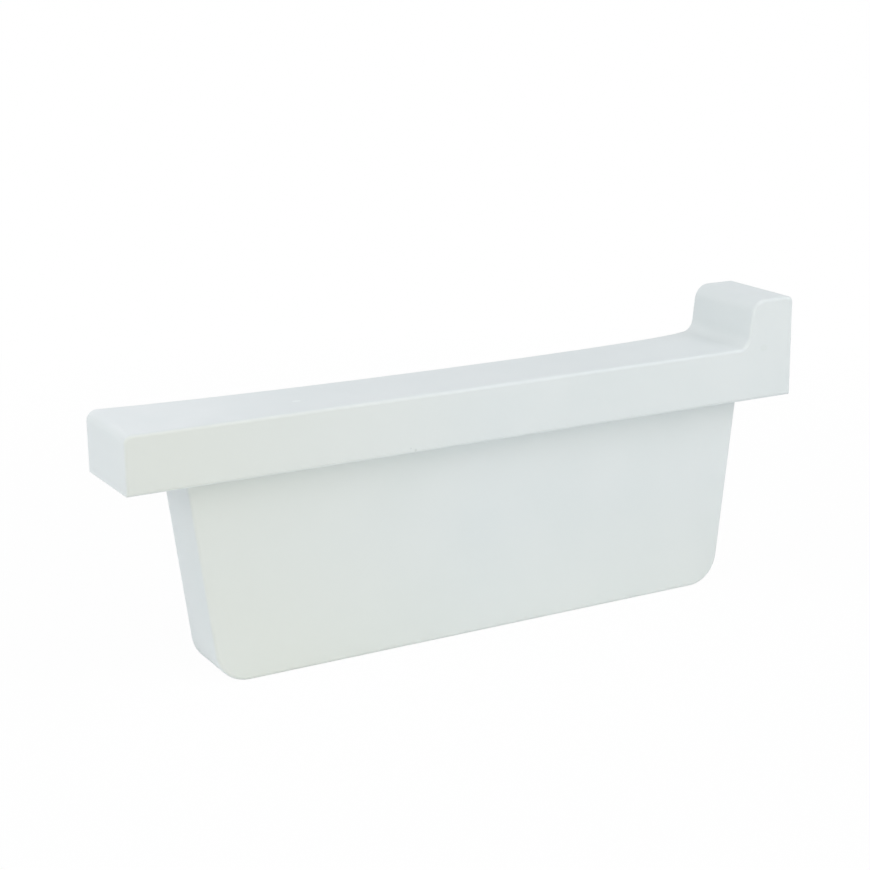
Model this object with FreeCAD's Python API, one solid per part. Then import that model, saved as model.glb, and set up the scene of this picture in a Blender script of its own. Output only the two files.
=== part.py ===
import FreeCAD, Part
import math
import os

# Gutter end cap, moulded in one piece of white PVC.
# A rail spans the gutter's mouth and both of its rims, and an upstand at its right end
# covers the taller rim. A trough cup hangs below, set back from the rail's front.
# The cap is open at the back, where the gutter's end slides in, and closed in front.
# X runs along the rail, +Y points into the gutter and +Z up. The origin lies below
# the middle of the rail, in the plane of the trough's underside.

# Rail
rail_length = 240.0
rail_height = 18.1
rail_depth = 32.0

# Upstand at the right end, with its height measured from the rail's underside
upstand_height = 34.3
upstand_top_width = 16.8

# Trough, with its overhangs measured along the rail's underside
trough_height = 65.7
left_overhang = 20.9
right_overhang = 17.0
trough_setback = 7.6
trough_depth = 19.4
side_slant = 7.0

# The walls thin out from the front plates to the back rims, so that the core draws out
plate = 2.6
root_wall = 2.6
rim_wall = 2.2

# The top wall climbs to the back rim at both ends and hangs between them
end_rise = 0.85
sag = 1.75
left_stiffness = 0.25
right_stiffness = 0.05

# Rounded corners of the section, of which the left one widens towards the back rim
left_corner = 2.4
left_corner_growth = 0.8
foot_corner = 4.5
crest_corner = 5.4
right_corner = 2.0
trough_corner = 11.0
core_corner = 0.8

# Edges round the front plates, and the lower edges of the rail's two ends
rail_edge = 1.1
trough_edge = 1.2
lower_edge = 0.4

# Rib inside the trough, which leaves a groove for the gutter's wall
gutter_wall = 2.0
glue_gap = 0.3
rib_wall = 1.8
rib_length = 7.0

# Places worked out from the sizes
slant = math.tan(math.radians(side_slant))
left = -rail_length / 2
right = rail_length / 2
front = -rail_depth / 2
back = rail_depth / 2
trough_front = front + trough_setback
trough_back = trough_front + trough_depth
deck = trough_height + rail_height
crest = trough_height + upstand_height
crest_left = right - upstand_top_width
foot = crest_left - (crest - deck) * slant

# Slack when a plane is compared with an edge's box
NEAR = 0.001


def rail_outline(share):
    """Corners of the rail and upstand with their radii, counterclockwise from the upper left.

    The share runs from nothing at the front to one at the back rim.
    """
    rise = end_rise * share
    return [
        (left, deck + rise, left_corner + left_corner_growth * share),
        (left, trough_height, 0.0),
        (right, trough_height, 0.0),
        (right, crest + rise, right_corner),
        (crest_left, crest + rise, crest_corner),
        (foot, deck + rise, foot_corner),
    ]


def trough_outline(top):
    """Corners of the trough up to a height, with their radii, counterclockwise from the upper left."""
    reach_left = left + left_overhang + slant * trough_height
    reach_right = right - right_overhang - slant * trough_height
    return [
        (reach_left - slant * top, top, 0.0),
        (reach_left, 0.0, trough_corner),
        (reach_right, 0.0, trough_corner),
        (reach_right + slant * top, top, 0.0),
    ]


def point(corner, y=0.0):
    """The place of an outline's corner at a depth."""
    return FreeCAD.Vector(corner[0], y, corner[1])


def inward(direction):
    """The normal of a side that points into a counterclockwise outline."""
    return FreeCAD.Vector(-direction.z, 0, direction.x)


def corners_of(outline):
    """Each corner's place and radius, with the directions of the sides before and after it."""
    for i, corner in enumerate(outline):
        here = point(corner)
        come = (here - point(outline[i - 1])).normalize()
        go = (point(outline[(i + 1) % len(outline)]) - here).normalize()
        yield here, corner[2], come, go


def bisector(come, go):
    """The step from a corner that moves both of its sides inwards by one unit."""
    return (inward(come) + inward(go)) / (1 + inward(come).dot(inward(go)))


def inset(outline, wall):
    """The outline moved inwards by a wall, with its round corners kept concentric."""
    moved = []
    for here, radius, come, go in corners_of(outline):
        place = here + bisector(come, go) * wall
        convex = inward(come).dot(go) > 0
        moved.append((place.x, place.z, max(radius - wall, core_corner) if convex else radius + wall))
    return moved


def hanging_edge(start, end, drop):
    """The top wall's line from the upstand's foot to the left end, stiff at the ends and slack between."""
    span = end - start
    slack = FreeCAD.Vector(0, 0, -drop)
    curve = Part.BezierCurve()
    curve.setPoles([start, start + span * right_stiffness + slack, end - span * left_stiffness + slack, end])
    return curve.toShape()


def section(outline, y, drop=0.0):
    """A closed wire at a depth, with tangent arcs at the corners, whose last side may hang."""
    stops = []
    for here, radius, come, go in corners_of(outline):
        if radius == 0:
            stops.append((here, here, here))
            continue
        reach = radius * math.tan(come.getAngle(go) / 2)
        to_centre = bisector(come, go) * radius
        if inward(come).dot(go) < 0:
            to_centre = -to_centre
        middle = here + to_centre * (1 - radius / to_centre.Length)
        stops.append((here - come * reach, middle, here + go * reach))
    edges = []
    for i, (start, middle, end) in enumerate(stops):
        after = stops[(i + 1) % len(stops)][0]
        if start != end:
            edges.append(Part.Arc(start, middle, end).toShape())
        if drop and after == stops[0][0]:
            edges.append(hanging_edge(end, after, drop))
        else:
            edges.append(Part.makeLine(end, after))
    wire = Part.Wire(edges)
    wire.translate(FreeCAD.Vector(0, y, 0))
    return wire


def rail_section(y, wall=0.0):
    """The rail's section at a depth, or that of the hollow inside its wall."""
    share = (y - front) / rail_depth
    outline = rail_outline(share)
    if wall:
        outline = inset(outline, wall)
    # a curve of four poles sinks by three quarters of what its inner poles do
    return section(outline, y, sag * share / 0.75)


def trough_section(y, wall, top):
    """The trough's section at a depth inside a wall, up to a height."""
    return section(inset(trough_outline(top + wall), wall), y)


def loft(first, last):
    """The solid between two sections, flat wherever two of their sides face each other as lines."""
    sides = []
    for near, far in zip(first.Edges, last.Edges):
        if near.Curve.TypeId == far.Curve.TypeId == "Part::GeomLine":
            start, end = near.Vertexes
            far_start, far_end = far.Vertexes
            corners = [start.Point, end.Point, far_end.Point, far_start.Point, start.Point]
            sides.append(Part.Face(Part.makePolygon(corners)))
        else:
            sides.append(Part.makeRuledSurface(near, far))
    shell = Part.makeShell([Part.Face(first), Part.Face(last)] + sides)
    shell.sewShape()
    solid = Part.makeSolid(shell)
    if solid.Volume < 0:
        solid.reverse()
    return solid


def prism(wire, depth):
    """A section carried straight back by a depth."""
    return Part.Face(wire).extrude(FreeCAD.Vector(0, depth, 0))


def rounded_rail():
    """The rail and upstand as a full block, with its front edges and both ends' lower edges rounded."""
    block = loft(rail_section(front), rail_section(back))
    round_front = [edge for edge in block.Edges if edge.BoundBox.YMax < front + NEAR]
    block = block.makeFillet(rail_edge, round_front)
    under_ends = [
        edge for edge in block.Edges
        if edge.BoundBox.ZMax < trough_height + NEAR and edge.BoundBox.XLength < NEAR
    ]
    return block.makeFillet(lower_edge, under_ends)


def rounded_trough():
    """The trough as a full block that reaches up into the rail, rounded round its front."""
    inside_rail = trough_height + rail_height / 2
    block = prism(section(trough_outline(inside_rail), trough_front), trough_depth)
    round_front = [
        edge for edge in block.Edges
        if edge.BoundBox.YMax < trough_front + NEAR and edge.BoundBox.ZMin < inside_rail - NEAR
    ]
    return block.makeFillet(trough_edge, round_front)


def hollow():
    """The space that the gutter's end fills: the trough below, both rims above, open at the back."""
    rail_core = loft(rail_section(front + plate, root_wall), rail_section(back, rim_wall))
    inside_rail = trough_height + rail_height / 2
    root = trough_section(trough_front + plate, root_wall, inside_rail)
    rim = trough_section(trough_back, rim_wall, inside_rail)
    mouth = prism(rim, back - trough_back + plate)
    return [rail_core, loft(root, rim), mouth]


def groove_rib():
    """A low wall on the trough's plate, one gutter wall and its glue inside the trough."""
    groove = root_wall + gutter_wall + 2 * glue_gap
    start = trough_front + plate / 2
    length = rib_length + plate / 2
    outside = prism(trough_section(start, groove, trough_height), length)
    within = prism(trough_section(start, groove + rib_wall, trough_height + plate), length)
    return outside.cut(within)


def end_cap():
    """The whole moulding."""
    shell = rounded_rail().fuse(rounded_trough()).cut(hollow())
    return shell.fuse(groove_rib()).removeSplitter()


os.makedirs("parts", exist_ok=True)
cap = end_cap().Solids[0]
cap.exportStep("parts/end_cap.step")
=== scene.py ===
import bpy
import math
from mathutils import Matrix, Vector

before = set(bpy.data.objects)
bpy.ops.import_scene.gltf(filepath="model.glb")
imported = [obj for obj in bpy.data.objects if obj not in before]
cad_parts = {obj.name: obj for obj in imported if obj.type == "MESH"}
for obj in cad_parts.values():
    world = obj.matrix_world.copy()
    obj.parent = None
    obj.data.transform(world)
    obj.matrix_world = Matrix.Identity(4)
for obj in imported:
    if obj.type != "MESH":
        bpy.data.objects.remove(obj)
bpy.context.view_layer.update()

bpy.context.scene.view_settings.view_transform = "Standard"

# Camera
# A lens of 75 mm stands 0.6 m off, to the left of the front plate and a little above the rail,
# so the left end, the trough's left flank and the whole top wall are in view.
camera_place = Vector((-0.28414, -0.49110, 0.21171))
camera_turn = math.radians(29.063)
camera_dip = math.radians(14.562)
camera_roll = math.radians(-0.733)
camera_data = bpy.data.cameras.new("photo_camera")
camera_data.lens = 75.53
camera_data.sensor_width = 36
camera = bpy.data.objects.new("photo_camera", camera_data)
bpy.context.scene.collection.objects.link(camera)
aim = Matrix.Rotation(-camera_turn, 4, "Z") @ Matrix.Rotation(math.pi / 2 - camera_dip, 4, "X")
camera.matrix_world = Matrix.Translation(camera_place) @ aim @ Matrix.Rotation(camera_roll, 4, "Z")
bpy.context.scene.camera = camera


# End cap
# The whole cap is one shot of rigid PVC, coloured white through and through with titanium white.
# It comes from a polished steel mould that has lost its shine, so its skin is satin.
def linear(hex_colour):
    """A colour written in sRGB, such as #E4E9E8, as linear red, green, blue and alpha."""
    parts = [int(hex_colour[i:i + 2], 16) / 255 for i in (1, 3, 5)]
    return [c / 12.92 if c <= 0.04045 else ((c + 0.055) / 1.055) ** 2.4 for c in parts] + [1]


def node(tree, kind, settings=None, **inputs):
    """Add a node, set its properties, and set or link its inputs by name."""
    made = tree.nodes.new(kind)
    for name, value in (settings or {}).items():
        setattr(made, name, value)
    for name, value in inputs.items():
        key = name.replace("_", " ")
        socket = made.inputs[int(key[3:])] if key.startswith("at ") else made.inputs[key]
        if isinstance(value, bpy.types.NodeSocket):
            tree.links.new(value, socket)
        else:
            socket.default_value = value
    return made


white_pvc = bpy.data.materials.new("rigid_pvc_injection_moulded")
white_pvc.use_nodes = True
tree = white_pvc.node_tree
tree.nodes.clear()
coordinates = node(tree, "ShaderNodeTexCoord").outputs
place = coordinates["Object"]

# The pigment is not stirred in quite evenly. The eye takes the two near whites, in clouds 25 mm
# across, as the slight life of a plastic that is coloured in the mass.
cloud_size = 0.025
clouds = node(
    tree, "ShaderNodeTexNoise",
    Vector=place, Scale=1 / cloud_size, Detail=2.0, Roughness=0.45,
)
stirring = node(tree, "ShaderNodeMapRange", Value=clouds.outputs["Fac"], From_Min=0.3, From_Max=0.7)
pigment = node(
    tree, "ShaderNodeMix", {"data_type": "RGBA"},
    Factor=stirring.outputs["Result"], at_6=linear("#E1E8E8"), at_7=linear("#E4EAEA"),
)

# The front plates get a warmer white painted on, a painted warm light that stands in for warmer
# light falling on them, most towards the left end and less along the trough's foot. The eye takes a
# warmer white there than on the top and the sides.
frontward = (0, -1, 0)
painted_warm_light_left = -0.105
painted_warm_light_foot = 0.04
foot_share = 0.4
turned = node(
    tree, "ShaderNodeVectorMath", {"operation": "DOT_PRODUCT"},
    at_0=coordinates["Normal"], at_1=frontward,
)
facing = node(
    tree, "ShaderNodeMapRange", Value=turned.outputs["Value"], From_Min=0.3, From_Max=0.9,
)
spot = node(tree, "ShaderNodeSeparateXYZ", Vector=place).outputs
leftward = node(
    tree, "ShaderNodeMapRange", Value=spot["X"], From_Min=0.0, From_Max=painted_warm_light_left,
)
footward = node(
    tree, "ShaderNodeMapRange",
    Value=spot["Z"], From_Min=painted_warm_light_foot, From_Max=0.0, To_Max=foot_share,
)
painted_warm_light_reach = node(
    tree, "ShaderNodeMath", {"operation": "ADD", "use_clamp": True},
    at_0=leftward.outputs["Result"], at_1=footward.outputs["Result"],
)
# Painted warm light: how strongly each front-facing spot is tinted, by place and by which way it
# faces.
painted_warm_light = node(
    tree, "ShaderNodeMath", {"operation": "MULTIPLY"},
    at_0=painted_warm_light_reach.outputs["Value"], at_1=facing.outputs["Result"],
)
# The painted warm light mixes a warmer white into the pigment on the front faces.
warm_lit_pigment = node(
    tree, "ShaderNodeMix", {"data_type": "RGBA"},
    Factor=painted_warm_light.outputs["Value"], at_6=pigment.outputs[2], at_7=linear("#E3E8E2"),
)
colour = warm_lit_pigment.outputs[2]

# Small marks in the skin: two grains of dust near the rail's lower edge, a pale rub on its top and
# a faint smudge on the upstand. Middle and reach are in metres, and each fades from half its reach.
skin_marks = [
    ((-0.0269, -0.0160, 0.0666), (0.0006, 0.0010, 0.0007), "#D8DFDD"),
    ((-0.0286, -0.0160, 0.0674), (0.0005, 0.0010, 0.0004), "#DAE1E0"),
    ((-0.0602, -0.0022, 0.0836), (0.0018, 0.0012, 0.0020), "#EAF1F0"),
    ((0.1078, -0.0160, 0.0834), (0.0020, 0.0010, 0.0015), "#E0E7E6"),
]
for middle, reach, mark_colour in skin_marks:
    away = node(tree, "ShaderNodeVectorMath", {"operation": "SUBTRACT"}, at_0=place, at_1=middle)
    scaled = node(
        tree, "ShaderNodeVectorMath", {"operation": "DIVIDE"},
        at_0=away.outputs["Vector"], at_1=reach,
    )
    far = node(tree, "ShaderNodeVectorMath", {"operation": "LENGTH"}, at_0=scaled.outputs["Vector"])
    cover = node(
        tree, "ShaderNodeMapRange", {"interpolation_type": "SMOOTHSTEP"},
        Value=far.outputs["Value"], From_Min=0.5, From_Max=1.0, To_Min=1.0, To_Max=0.0,
    )
    marked = node(
        tree, "ShaderNodeMix", {"data_type": "RGBA"},
        Factor=cover.outputs["Result"], at_6=colour, at_7=linear(mark_colour),
    )
    colour = marked.outputs[2]

# The mould's dulled steel leaves a satin skin, a little glossier where handling has rubbed it. The
# highlights along the edges spread softly and change a little from place to place.
rub_size = 0.012
rubbing = node(
    tree, "ShaderNodeTexNoise",
    Vector=place, Scale=1 / rub_size, Detail=2.0, Roughness=0.5,
)
satin = node(
    tree, "ShaderNodeMapRange",
    Value=rubbing.outputs["Fac"], From_Min=0.3, From_Max=0.7, To_Min=0.46, To_Max=0.54,
)

# Two heights lie on the skin: the steel's grain, drawn 0.6 mm across because the real tenth of a
# millimetre is too fine to show, and swells of 40 mm where the walls have shrunk while cooling.
grain_size = 0.0006
grain_depth = 0.000004
swell_size = 0.040
swell_depth = 0.00015
grain = node(tree, "ShaderNodeTexNoise", Vector=place, Scale=1 / grain_size, Detail=1.0)
swells = node(tree, "ShaderNodeTexNoise", Vector=place, Scale=1 / swell_size, Detail=0.0)
sunk = node(
    tree, "ShaderNodeBump", Strength=1.0, Distance=swell_depth, Height=swells.outputs["Fac"],
)
skin = node(
    tree, "ShaderNodeBump",
    Strength=1.0, Distance=grain_depth, Height=grain.outputs["Fac"], Normal=sunk.outputs["Normal"],
)
shader = node(
    tree, "ShaderNodeBsdfPrincipled",
    Base_Color=colour, Roughness=satin.outputs["Result"], IOR=1.53, Normal=skin.outputs["Normal"],
)
node(tree, "ShaderNodeOutputMaterial", Surface=shader.outputs["BSDF"])

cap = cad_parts["end_cap"]
cap.material_slots[0].material = white_pvc


# Studio
# The cap stands on a seamless white table. The camera sees the room as plain white, and the table
# too, with the cap's faint shadow on it. The satin skin mirrors the same white room along its
# edges, and the light itself comes from the panels and from the white walls' weak fill.
table_white = bpy.data.materials.new("seamless_white_table")
table_white.use_nodes = True
tree = table_white.node_tree
tree.nodes.clear()
seen = node(tree, "ShaderNodeLightPath").outputs["Is Camera Ray"]
matt = node(tree, "ShaderNodeBsdfDiffuse", Color=linear("#FAFAFA"))
glow = node(tree, "ShaderNodeEmission", Color=(1, 1, 1, 1), Strength=1)
# The camera sees 3 % of the shadowed table near the cap. That share fades out between two
# distances, so no horizon shows.
near_cap = 0.2
far_off = 0.5
place = node(tree, "ShaderNodeTexCoord").outputs["Object"]
away = node(tree, "ShaderNodeVectorMath", {"operation": "LENGTH"}, at_0=place).outputs["Value"]
plain = node(
    tree, "ShaderNodeMapRange",
    Value=away, From_Min=near_cap, From_Max=far_off, To_Min=0.97, To_Max=1.0,
)
shown = node(
    tree, "ShaderNodeMixShader",
    Fac=plain.outputs["Result"], at_1=matt.outputs["BSDF"], at_2=glow.outputs["Emission"],
)
mixed = node(
    tree, "ShaderNodeMixShader",
    Fac=seen, at_1=matt.outputs["BSDF"], at_2=shown.outputs["Shader"],
)
node(tree, "ShaderNodeOutputMaterial", Surface=mixed.outputs["Shader"])

bpy.ops.object.select_all(action="DESELECT")
table_side = 6
bpy.ops.mesh.primitive_plane_add(size=table_side, location=(0, 0, 0))
table = bpy.context.object
table.name = "table"
table.data.materials.append(table_white)

room = bpy.data.worlds.new("room")
bpy.context.scene.world = room
room.use_nodes = True
tree = room.node_tree
tree.nodes.clear()
ray = node(tree, "ShaderNodeLightPath").outputs
seen = node(
    tree, "ShaderNodeMath", {"operation": "MAXIMUM"},
    at_0=ray["Is Camera Ray"], at_1=ray["Is Glossy Ray"],
)
fill = node(tree, "ShaderNodeBackground", Color=linear("#FBFDFF"), Strength=0.22)
white = node(tree, "ShaderNodeBackground", Color=(1, 1, 1, 1), Strength=1)
mixed = node(
    tree, "ShaderNodeMixShader",
    Fac=seen.outputs["Value"], at_1=fill.outputs["Background"], at_2=white.outputs["Background"],
)
node(tree, "ShaderNodeOutputWorld", Surface=mixed.outputs["Shader"])


# The panels of the light tent all stand equally far from its middle. Each has its direction round
# the cap from the front, positive to the right, and its height above the table, both in degrees,
# then its side in metres, its power in watts and its colour.
tent_panels = {
    "front_panel": (20, 35, 1.3, 7.6, "#FFFCF9"),
    "right_panel": (60, 35, 1.3, 2.3, "#E9F3FF"),
    "high_right_panel": (50, 60, 1.3, 2.9, "#F1F4FF"),
    "left_panel": (-100, 45, 1.3, 6.3, "#FCFCFF"),
    "low_front_panel": (0, 15, 0.8, 0.7, "#FFFDE0"),
    "low_left_panel": (-90, 15, 0.8, 3.3, "#FEFFFD"),
    "low_rear_panel": (180, 15, 0.8, 2.2, "#FFF7FD"),
}
tent_middle = Vector((0, 0, 0.06))
tent_radius = 1.3
for name, (turn, height, side, power, colour) in tent_panels.items():
    lamp = bpy.data.lights.new(name, "AREA")
    lamp.size = side
    lamp.energy = power
    lamp.color = linear(colour)[:3]
    panel = bpy.data.objects.new(name, lamp)
    bpy.context.scene.collection.objects.link(panel)
    round_cap = Matrix.Rotation(math.radians(turn), 3, "Z")
    aim = round_cap @ Matrix.Rotation(math.radians(90 - height), 3, "X")
    panel.rotation_euler = aim.to_euler()
    panel.location = tent_middle + aim @ Vector((0, 0, tent_radius))
